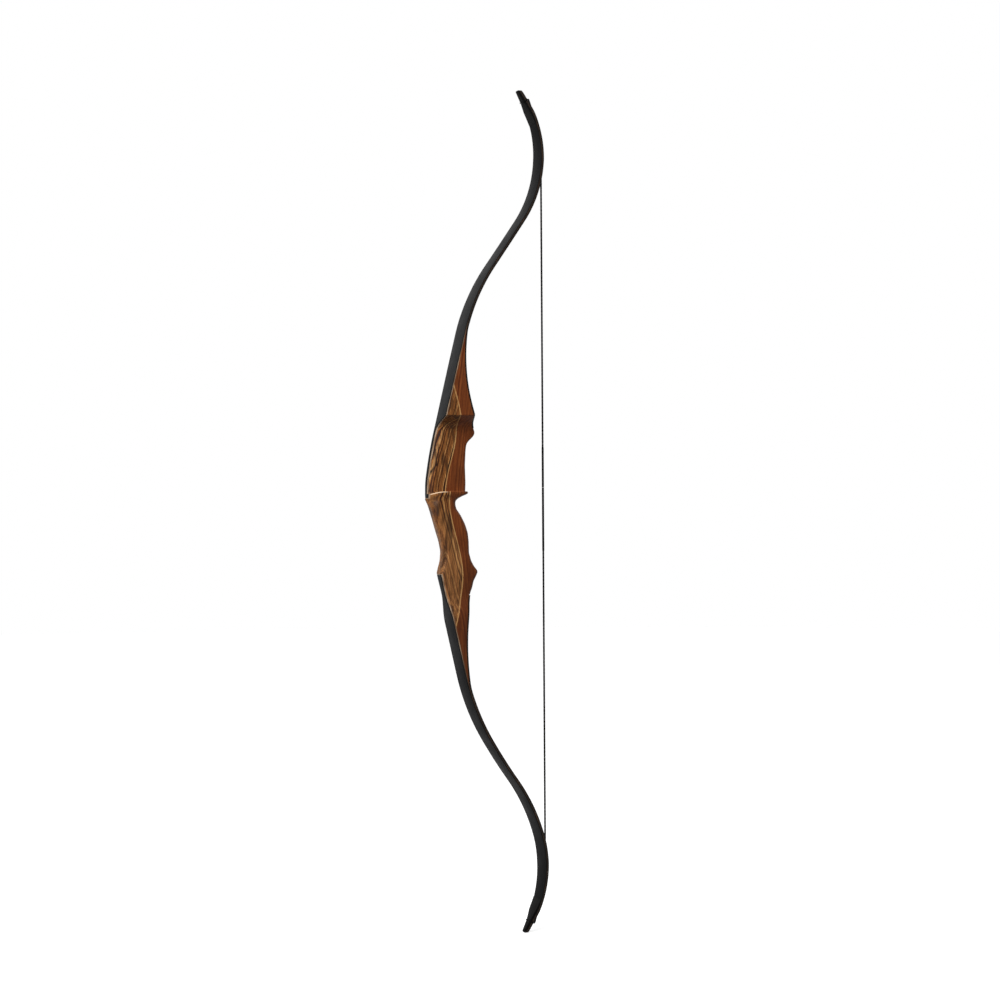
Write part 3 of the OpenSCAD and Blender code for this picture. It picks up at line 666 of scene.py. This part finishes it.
def riser_block(name, inner, outer, is_belly, cover, material):
    """A block from the stripe to its outer face. Under a board, cover is how much deeper a corner
    is rounded, because the board takes up the outermost part of it."""
    sections, least = [], 0.6
    for z, near, near_back, near_belly in riser_levels:
        bare = -form_start["lower"][1] <= z <= glass_level
        x0, x1 = sunk(inner, z), sunk(bare_back_x if bare and not is_belly else outer, z)
        if (x1 - x0 if is_belly else x0 - x1) > thinnest:
            hidden = 0 if bare else cover
            near_radius = near_belly if is_belly else near_back
            far_radius = faired(z, belly_round if is_belly else back_round, 2)
            if is_belly and abs(z) > ramp_end_z[limb_at(z)] + 0.1:
                near_radius = far_radius = least
            radii = max(near_radius, least), max(far_radius, least)
            sections.append(block_section(z, near, x0, x1, *radii, hidden))
    return piece(name, drawn_out(sections), material)


def stripe_back(z):
    return max(stripe_x(z) - stripe_half, back_x(z))


def stripe_front(z):
    return max(stripe_x(z) + stripe_half, back_x(z))


back_block = riser_block(
    "striped_back_block", stripe_back, back_x, False, mid_depth, striped
)
belly_block = riser_block(
    "reddish_belly_block", stripe_front, belly_x, True, 0, reddish
)
accent_sections = []
for z, near, _, _ in riser_levels:
    x0, x1 = sunk(stripe_back, z), sunk(stripe_front, z)
    if x1 - x0 > thinnest:
        far = far_y(z)
        flat = [(x0, near), (x1, near), (x1, far), (x0, far)]
        accent_sections.append([place(x, y, z - shelf_sink(x, z)) for x, y in flat])
accent = piece("pale_accent_stripe", drawn_out(accent_sections), pale)
for block, stood_for in (
    (back_block, "riser_back_block"), (belly_block, "riser_belly_block"),
    (accent, "riser_accent_stripe"),
):
    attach(block, "riser")
    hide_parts(stood_for)


# The limbs. Two core boards between two black glass laminations, tapered in width to the tip. The
# back boards run down over the riser, the belly boards lie on its ramp, and all four are one stack
# past the fade. They are cut halfway between the bends, so that each length has its bend inside.
tip_z = {limb: on_form(limb, tip_s[limb])[1] for limb in form_runs}
tip_widths = [(0, 3.4), (1, 4.3), (3, 4.9), (11, 6.5), (15, 7.3), (23, 8.8), (27, 10.3)]
limb_widths = {
    "upper": tip_widths + [
        (32, 11.9), (41, 14), (66, 15), (118, 18.2), (218, 19), (288, 19.5), (365, 20.5),
        (400, limb_half),
    ],
    "lower": tip_widths + [
        (32, 12.4), (41, 15.2), (66, 17), (118, 20.2), (218, 20.9), (288, 21.2),
        (365, limb_half),
    ],
}
nock_back, nock_half, groove_r, beside_groove = 21.5, 8.0, 1.6, 1.7
stack = {
    "back_glass": (0, glass), "back_core": (glass, mid_depth),
    "belly_core": (mid_depth, mid_depth + core), "belly_glass": (mid_depth + core, limb_depth),
}
edge_round, bare_core_end, bend_ends = 0.7, 1.75, [72.5, 157.5, 242.5]
edge_depths = [0.0, 0.05, 0.14, 0.28, 0.5, 0.75]


def corner_cut(radius, depth):
    return radius - math.sqrt(radius**2 - (radius - depth) ** 2) if depth < radius else 0.0


def free_half(limb, s):
    """Half the width of the limb past the riser, with the nock groove let into its edge."""
    below = tip_z[limb] - on_form(limb, s)[1]
    half = faired(below, limb_widths[limb], min(6.0, max(0.2, (below - 2) / 4)))
    from_groove = abs(s - (tip_s[limb] - nock_back))
    if from_groove < groove_r:
        half = min(half, nock_half - math.sqrt(groove_r**2 - from_groove**2))
    return half


def board_depths(top, bottom):
    """Depths at which a board's edge is drawn, closer together where an outer corner is round."""
    if top == 0:
        return edge_depths + [bottom]
    if bottom == limb_depth:
        return [top] + [limb_depth - d for d in reversed(edge_depths)]
    return [top, (top + bottom) / 2, bottom]


def board_section(limb, at, lam, near, far, near_radius, far_radius, top=None):
    """A section across one board, or from another top. at(depth) gives x, z and heading there."""
    low, high, bottom = [], [], stack[lam][1]
    plain = (top, ((top or 0) + bottom) / 2, bottom)
    for depth in board_depths(*stack[lam]) if top is None else plain:
        belly_cut = corner_cut(edge_round, limb_depth - depth)
        x, z, _ = at(depth)
        low.append(on_bow(limb, (x, near + max(corner_cut(near_radius, depth), belly_cut), z)))
        high.append(on_bow(limb, (x, far - max(corner_cut(far_radius, depth), belly_cut), z)))
    return low + high[::-1]


def near_of_riser(limb):
    """Heights, near edge and near radius for the boards on the riser, lowered with the shelf."""
    start = form_start[limb][1]
    if limb == "lower":
        return sorted((-z, near, radius) for z, near, radius, _ in riser_levels if z < -start)
    lowered = [
        (z - shelf_sink(back_x(z), z), near, radius)
        for z, near, radius, _ in riser_levels if z > 0
    ]
    edges, radii = [row[:2] for row in lowered], [row[::2] for row in lowered]
    end = start + bare_core_end
    ends = [(z, read_off(z, edges), read_off(z, radii)) for z in (start, end - 0.05, end + 0.05)]
    return sorted(ends + [row for row in lowered if row[0] > start])


def free_section(limb, lam, at, half):
    return board_section(limb, at, lam, -half, half, edge_round, edge_round)


def riser_board(limb, lam):
    """A board from its end on the riser to the fade. The end of the back core shows as a line
    round the end of the glass."""
    sections, fade, way = [], fade_s[limb], up_or_down[limb]
    if lam.startswith("back"):
        glass_from = form_start[limb][1] + bare_core_end
        for z, near, near_radius in near_of_riser(limb):
            if lam == "back_glass" and z < glass_from:
                continue
            bare_end = 0.0 if lam == "back_core" and z < glass_from else None
            s = form_s_at(limb, z, stack[lam][0] if bare_end is None else 0.0)
            if s > fade - 6:
                continue
            far = far_y(z * way)
            far_radius = max(edge_round, faired(z * way, back_round, 2))
            near_radius = max(edge_round, min(near_radius, far - far_radius - near - 1))
            sections.append(board_section(
                limb, lambda d: on_form(limb, s, d), lam, near, far, near_radius, far_radius,
                top=bare_end,
            ))
    else:
        edges = [level[:2] for level in riser_levels]
        for u in reversed(spaced(4, ramp_length[limb], 3)):
            z = on_ramp(limb, u)[1] * way
            sections.append(board_section(
                limb, lambda d: on_ramp(limb, u, d - mid_depth), lam, read_off(z, edges), far_y(z),
                edge_round, edge_round,
            ))
    sections.append(free_section(
        limb, lam, lambda d: on_form(limb, fade, d), free_half(limb, fade)
    ))
    return sections


def free_board(limb, lam, s0, s1):
    """A board between two lengths past the fade, with close sections round the nock groove. The
    tip is sawn off level, so deeper places end sooner."""
    groove = tip_s[limb] - nock_back
    tip_lean = math.tan(on_form(limb, tip_s[limb])[2])
    stations = [s for s in spaced(s0, s1, 4) if abs(s - groove) > 3 and s < tip_s[limb] - 4] + [s1]
    if s1 > groove:
        stations += [groove + groove_r * math.sin(a) for a in groove_turn]
        stations += [groove - beside_groove, groove + beside_groove]
        stations += [tip_s[limb] - d for d in (4, 3, 2, 1.2, 0.6, 0.2)]
    sections = []
    for s in sorted(stations):
        cut_off = tip_lean * max(0.0, 1 - (tip_s[limb] - s) / 8)
        sections.append(free_section(
            limb, lam, lambda d: on_form(limb, s + d * cut_off, d), free_half(limb, s)
        ))
    return sections


def black_glass(name, dull_and_shade_dimmed):
    """Unidirectional black glass cloth in resin: faint fibres along the limb under a satin skin,
    which is rubbed dull on the back. There its sheen also falls toward the tips and on the lower
    limb, as painted shade."""
    made, tree, where = new_material(name)
    fibres = noise(tree, stretched(tree, where, (300, 2400, 9)), 1.0, 2.0)
    colour = ramp(tree, fibres, [(0.3, "0c0c0d"), (0.7, "151516")])
    sheen = 0.16
    # Painted shade: less sheen toward the tips and on the lower limb.
    if dull_and_shade_dimmed:
        height = node(tree, "SeparateXYZ", {0: where}).outputs["Z"]
        low = remap(tree, height, 0.0, -0.3, 0.05, 0.012)
        high = remap(tree, height, 0.35, 0.6, 0.05, 0.018)
        sheen = maths(tree, "MINIMUM", low, high)
    lacquered(tree, where, colour, fibres, (0.4, 0.5), 0.08, sheen)
    return made


back_skin = black_glass("rubbed_and_shade_dimmed_glass", True)
belly_skin = black_glass("satin_black_glass", False)
board_wood = wood(
    "limb_core_wood", [(0.3, "7a624c"), (0.5, "947b64"), (0.7, "aa927a")],
    ((0.1, 0.3, 0.0), 0.002, 0.003, 0.001, 0.0, (0.5, 0.1, 0.9)), "5e4735", 0.3,
    # Darker past the fades, near black on the free limbs.
    tone_and_shade_by_height=(True, 0.23, 0.32, "15110e", 1.0),
)
# Painted shade: the belly cores are near black, standing in for the shade along the belly edge.
shade_dark_wood = wood(
    "shade_dark_core_wood", [(0.3, "120e0b"), (0.7, "211912")],
    ((0.1, 0.3, 0.0), 0.002, 0.003, 0.001, 0.0, (0.2, 0.6, 0.3)), "0e0a08", 0.3,
)

board_skins = {
    "back_glass": (back_skin, "limb_glass"), "back_core": (board_wood, "limb_core"),
    "belly_core": (shade_dark_wood, "limb_core"), "belly_glass": (belly_skin, "limb_glass"),
}

for limb in form_runs:
    cuts = [fade_s[limb]] + [fade_s[limb] + d for d in bend_ends]
    for lam in stack:
        skin, slot = board_skins[lam]
        rest = piece(f"{limb}_{lam}_on_riser", drawn_out(riser_board(limb, lam)), skin)
        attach(rest, "riser")
        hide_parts(f"{limb}_{lam}_root")
        for count, part in enumerate(("inner", "middle", "outer")):
            span = cuts[count], cuts[count + 1]
            made = drawn_out(free_board(limb, lam, *span))
            bent = piece(f"{limb}_{lam}_bend_{count + 1}", made, skin)
            ends = []
            for s in span:
                x, z, _ = on_form(limb, s, mid_depth)
                ends.append(on_bow(limb, (x, 0, z)))
            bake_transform(bent)
            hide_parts(f"{limb}_{lam}_{part}")
        made = drawn_out(free_board(limb, lam, cuts[-1], tip_s[limb]))
        reach = piece(f"{limb}_{lam}_recurve", made, skin)
        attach(reach, f"{limb}_limb_outer")
        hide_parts(f"{limb}_{lam}_outer")


# The tip overlays. A wedge of hard black stuff is glued to the back of each tip, filed to the
# outline of the limb, and the nock groove for the loop is filed across it and down both edges.
overlay_t, overlay_l, overlay_round = 3.0, 42.0, 1.1


def tip_overlay(limb):
    """The wedge, by its thickness over the limb and its half width at each station."""
    nock = tip_s[limb] - nock_back
    tip = tip_s[limb]
    stations = [
        s for s in spaced(nock - overlay_l, tip, 2.5) if abs(s - nock) > 2.6 and s < tip - 3
    ]
    stations += [nock + groove_r * math.sin(a) for a in groove_turn]
    stations += [nock - beside_groove, nock + beside_groove]
    stations += [tip - d for d in (3, 2.2, 1.4, 0.8, 0.35, 0.1, 0.0)]
    sections = []
    for s in sorted(stations):
        thick = min(overlay_t, 0.4 + (s - nock + overlay_l) * 0.11)
        from_groove = abs(s - nock)
        if from_groove < groove_r:
            thick = overlay_t - math.sqrt(groove_r**2 - from_groove**2)
        thick -= corner_cut(1.6, tip - s) * 0.8
        half = free_half(limb, s)
        radius = min(overlay_round, thick * 0.7)
        flat = [(glue, half)]
        for a in quarter_turn:
            flat.append((radius * (1 - math.sin(a)) - thick, half - radius * (1 - math.cos(a))))
        ring = []
        for depth, y in flat + [(depth, -y) for depth, y in reversed(flat)]:
            x, z, _ = on_form(limb, s, depth - glue)
            ring.append(on_bow(limb, (x, y, z)))
        sections.append(ring)
    return drawn_out(sections)


def hard_black():
    made, tree, where = new_material("hard_black_tip")
    cloud = noise(tree, where, 260.0, 4.0)
    colour = ramp(tree, cloud, [(0.35, "0a0a0a"), (0.7, "121110")])
    lacquered(tree, where, colour, cloud, (0.34, 0.46), 0.05, 0.02)
    return made


tip_skin = hard_black()
for limb in form_runs:
    cap = piece(f"{limb}_tip_wedge", tip_overlay(limb), tip_skin, sharp=50)
    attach(cap, f"{limb}_limb_outer")
    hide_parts(f"{limb}_tip_overlay")


# The bowstring. Twisted black strands with a served loop at each end, whose two legs close below
# the tip. The served part lies on the recurve, and the middle is served where the arrow nocks.
string_r, served_r, middle_r, loop_r, whipping_r = 1.3, 1.5, 1.6, 1.3, 1.65
nap = 0.35
string_depth = limb_depth + 0.3 + string_r
nock_s = {limb: tip_s[limb] - nock_back for limb in form_runs}
crest_s = {"upper": 641.056, "lower": 551.657}
nocking_z, served = 27.0, {"upper": 70.0, "lower": 110.0}
leave, leg_apart, side = 3.0, 1.4, Vector((0, 1, 0))


def touch_line(limb, k):
    """The line of each stretch of string: it touches the belly at one place."""
    s = (nock_s[limb] - 20, nock_s[limb] - 60, crest_s[limb])[k]
    return on_form(limb, s, string_depth)


def crossing(a, b):
    """Where two lines cross, each given by x, z and heading."""
    ax, az, ah = a
    bx, bz, bh = b
    run = ((bx - ax) * math.cos(bh) - (bz - az) * math.sin(bh)) / math.sin(ah - bh)
    return Vector((ax + math.sin(ah) * run, 0, az + math.cos(ah) * run))


def string_points(limb):
    """Where the string turns beside the nock, where its legs merge and where it hangs free."""
    nx, nz, nh = on_form(limb, nock_s[limb])
    return (
        crossing(touch_line(limb, 0), (nx, nz, nh + math.pi / 2)),
        crossing(touch_line(limb, 0), touch_line(limb, 1)),
        crossing(touch_line(limb, 1), touch_line(limb, 2)),
    )


def eased_path(corners, radius, step):
    """Points along straight stretches whose corners are rounded to a radius."""
    path = [corners[0]]
    for before, corner, after in zip(corners, corners[1:], corners[2:]):
        back, on = (before - corner).normalized(), (after - corner).normalized()
        turn = math.pi - back.angle(on)
        room = [(before - corner).length * 0.45, (after - corner).length * 0.45]
        reach = min(radius * math.tan(turn / 2), *room)
        for k in range(9):
            t = k / 8
            path.append(corner + back * reach * (1 - t) ** 2 + on * reach * t**2)
    path.append(corners[-1])
    fine = [path[0]]
    for a, b in zip(path, path[1:]):
        if (b - a).length > 1e-4:
            fine += [a.lerp(b, k) for k in spaced(0, 1, step / (b - a).length)[1:]]
    return fine


def thread_sections(path, radius, limb, sides=14, start_across=side):
    """Sections round a path. radius(length, angle) gives the surface, so that thread can show."""
    sections, run, across = [], 0.0, start_across
    for k, point in enumerate(path):
        ahead = (path[min(k + 1, len(path) - 1)] - path[max(k - 1, 0)]).normalized()
        across = (across - ahead * across.dot(ahead)).normalized()
        over = ahead.cross(across)
        run += (point - path[k - 1]).length if k else 0
        ring = []
        for j in range(sides):
            a = 2 * math.pi * j / sides
            spot = point + (across * math.cos(a) + over * math.sin(a)) * radius(run, a)
            ring.append(on_bow(limb, spot))
        sections.append(ring)
    return sections


def wound(radius, pitch=0.9, groove=0.1):
    """A surface of thread laid turn by turn."""
    return lambda run, a: radius - groove * (1 - abs(math.sin(math.pi * run / pitch - a / 2)))


def twisted(radius, pitch=26.0, lobes=4, groove=0.16):
    """A surface of strands twisted together."""
    def surface(run, a):
        return radius - groove * (1 - abs(math.sin(lobes / 2 * (a - 2 * math.pi * run / pitch))))

    return surface


def joined(*parts):
    """Several closed forms in one mesh."""
    whole = bmesh.new()
    for part in parts:
        loose = bpy.data.meshes.new("part")
        part.to_mesh(loose)
        part.free()
        whole.from_mesh(loose)
        bpy.data.meshes.remove(loose)
    return whole


def black_thread():
    made, tree, where = new_material("black_thread")
    fluff = noise(tree, stretched(tree, where, (5200, 5200, 900)), 1.0, 2.0)
    colour = ramp(tree, fluff, [(0.3, "080808"), (0.7, "151414")])
    skinned(tree, colour, remap(tree, fluff, 0.3, 0.7, 0.5, 0.7), 0.03, fluff, 0.25, 0.0002)
    return made


def parted(ring):
    """A ring round the string pulled apart sideways, to go round both legs of a loop."""
    middle, drawn = sum(ring, Vector()) / len(ring), []
    for point in ring:
        off = point.y - middle.y
        y = point.y + math.copysign(leg_apart * 0.001, off) if abs(off) > 1e-5 else point.y
        drawn.append(Vector((point.x, y, point.z)))
    return drawn


def strand(limb, path, surface, *more):
    return drawn_out(thread_sections(path, surface, limb, *more))


def string_piece(limb, name, made):
    return piece(f"{limb}_{name}", made, thread, sharp=80)


thread = black_thread()
for limb in form_runs:
    turn_at, merge_at, free_at = string_points(limb)
    nx, nz, nh = on_form(limb, nock_s[limb])
    inward, at_nock = Vector((math.cos(nh), 0, -math.sin(nh))), Vector((nx, 0, nz))
    corners = []
    for way in (1, -1):
        edge = at_nock + side * way * nock_half
        arm = [edge + inward * leave, edge - inward * overlay_t]
        corners += arm if way == 1 else arm[::-1]
    upright = Vector((math.sin(nh), 0, math.cos(nh)))
    loop = strand(limb, eased_path(corners, 1.6, 0.3), wound(loop_r), 12, upright)
    bight = string_piece(limb, "loop_bight", loop)
    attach(bight, f"{limb}_limb_outer")
    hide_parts(f"{limb}_nock_loop")

    down = (turn_at - merge_at).normalized()
    close, whip_top, whip_low, split = (merge_at + down * d for d in (8.0, 11.0, 5.0, 4.0))
    legs = []
    for way in (1, -1):
        turned = turn_at + side * way * (nock_half - 0.8) - inward * 0.5
        start = at_nock + side * way * nock_half + inward * leave
        corners = [start, turned, close + side * way * leg_apart]
        legs.append(strand(limb, eased_path(corners, 3.0, 0.3), wound(loop_r), 12))
    path = eased_path([whip_top + down * 0.6, whip_low - down * 0.6], 1, 0.15)
    rings = thread_sections(path, wound(whipping_r, 0.6, 0.08), limb, 20)
    legs.append(drawn_out([parted(ring) for ring in rings]))
    legs.append(strand(limb, eased_path([close, split], 1, 0.2), wound(served_r)))
    yoke = string_piece(limb, "loop_strands", joined(*legs))
    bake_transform(yoke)
    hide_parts(f"{limb}_loop_legs")

    on_belly = (merge_at - free_at).normalized()
    served_end = free_at + on_belly * 8
    path = eased_path([split, merge_at, served_end], 14.0, 0.25)
    lap = string_piece(limb, "loop_served_part", strand(limb, path, wound(served_r)))
    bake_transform(lap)
    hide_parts(f"{limb}_loop_serving")

    first = nocking_z * up_or_down[limb]
    last = first + served[limb]
    path = eased_path([served_end, free_at, Vector((free_at.x, 0, last - 1))], 30.0, 1.0)
    bare = string_piece(limb, "bare_strands", strand(limb, path, twisted(string_r + nap), 16))
    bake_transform(bare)
    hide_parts(f"{limb}_string")

    ends = Vector((free_at.x, 0, last)), Vector((free_at.x, 0, first + 0.15))
    path = eased_path(ends, 1, 0.2)
    centre = string_piece(limb, "middle_serving", strand(limb, path, wound(middle_r + nap)))
    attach(centre, f"{limb}_string_main")
    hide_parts(f"{limb}_centre_serving")


# The studio. The bow stands on a plain white floor, lit softly from the upper left, and the
# camera looks at it level from the archer's left and a little from the back.
floor_radius, floor_grey, floor_glow, floor_bounce = 9, 0.75, 0.72, 0.1
floor_mesh = bmesh.new()
bmesh.ops.create_circle(floor_mesh, cap_ends=True, radius=floor_radius, segments=64)
bmesh.ops.translate(floor_mesh, verts=floor_mesh.verts, vec=(0, 0, solid_box[0][2] - 0.001))
floor_data = bpy.data.meshes.new("floor")
floor_mesh.to_mesh(floor_data)
floor_mesh.free()
floor = bpy.data.objects.new("floor", floor_data)
bpy.context.scene.collection.objects.link(floor)


def seen_directly(tree):
    """1 for what the camera sees, straight or in a reflection, and 0 for the light itself."""
    rays = node(tree, "LightPath").outputs
    either = maths(tree, "MAXIMUM", rays["Is Camera Ray"], rays["Is Glossy Ray"])
    return maths(tree, "MAXIMUM", either, rays["Is Transmission Ray"])


def grey(level):
    return (level, level, level, 1)


white_floor = bpy.data.materials.new("white_floor")
white_floor.use_nodes = True
tree = white_floor.node_tree
tree.nodes.clear()
lit = node(tree, "BsdfDiffuse", {"Color": grey(floor_grey)}).outputs[0]
glow = node(tree, "Emission", {"Color": grey(1), "Strength": floor_glow}).outputs[0]
shown = node(tree, "AddShader", {0: lit, 1: glow}).outputs[0]
dim = node(tree, "BsdfDiffuse", {"Color": grey(floor_bounce)}).outputs[0]
both = node(tree, "MixShader", {0: seen_directly(tree), 1: dim, 2: shown}).outputs[0]
tree.links.new(both, node(tree, "OutputMaterial").inputs[0])
floor_data.materials.append(white_floor)

studio = bpy.data.worlds.new("studio")
bpy.context.scene.world = studio
studio.use_nodes = True
tree = studio.node_tree
tree.nodes.clear()
toward_sky = node(tree, "SeparateXYZ", {0: node(tree, "TexCoord").outputs["Generated"]}).outputs
overhead = remap(tree, toward_sky["Z"], -0.3, 0.8, 0.02, 1.1)
from_left = remap(tree, toward_sky["X"], -0.7, 0.3, 1.0, 0.05)
sky = times(tree, overhead, from_left)
soft = node(tree, "Background", {"Color": grey(1), "Strength": sky}).outputs[0]
plain = node(tree, "Background", {"Color": grey(1), "Strength": 1.0}).outputs[0]
both = node(tree, "MixShader", {0: seen_directly(tree), 1: soft, 2: plain}).outputs[0]
tree.links.new(both, node(tree, "OutputWorld").inputs[0])

for name, spot, size, power in (
    ("key_light", (-2.0, -1.9, 2.6), 1.5, 96), ("fill_light", (-1.7, -2.6, 1.5), 2.0, 42),
):
    lamp = bpy.data.lights.new(name, "AREA")
    lamp.shape, lamp.size, lamp.energy = "DISK", size, power
    stand = bpy.data.objects.new(name, lamp)
    stand.location = spot
    stand.rotation_mode = "QUATERNION"
    stand.rotation_quaternion = (-Vector(spot)).to_track_quat("-Z", "Y")
    bpy.context.scene.collection.objects.link(stand)

azimuth, roll, distance = math.radians(-22.5), math.radians(-0.363), 3.598
looked_at = Vector((0.06, 0, 0))
toward = Vector((math.sin(azimuth), -math.cos(azimuth), 0))
level = Vector((math.cos(azimuth), math.sin(azimuth), 0))
right = level * math.cos(roll) + Vector((0, 0, math.sin(roll)))
over = Vector((0, 0, math.cos(roll))) - level * math.sin(roll)
eye = bpy.data.cameras.new("camera")
eye.sensor_width, eye.lens = 36, 75.2
eye.shift_x, eye.shift_y = 0.01273, 0.00328
camera = bpy.data.objects.new("camera", eye)
turned = Matrix((right, over, toward)).transposed().to_4x4()
camera.matrix_world = Matrix.Translation(looked_at + toward * distance) @ turned
bpy.context.scene.collection.objects.link(camera)
bpy.context.scene.camera = camera
bpy.context.scene.view_settings.view_transform = "Standard"
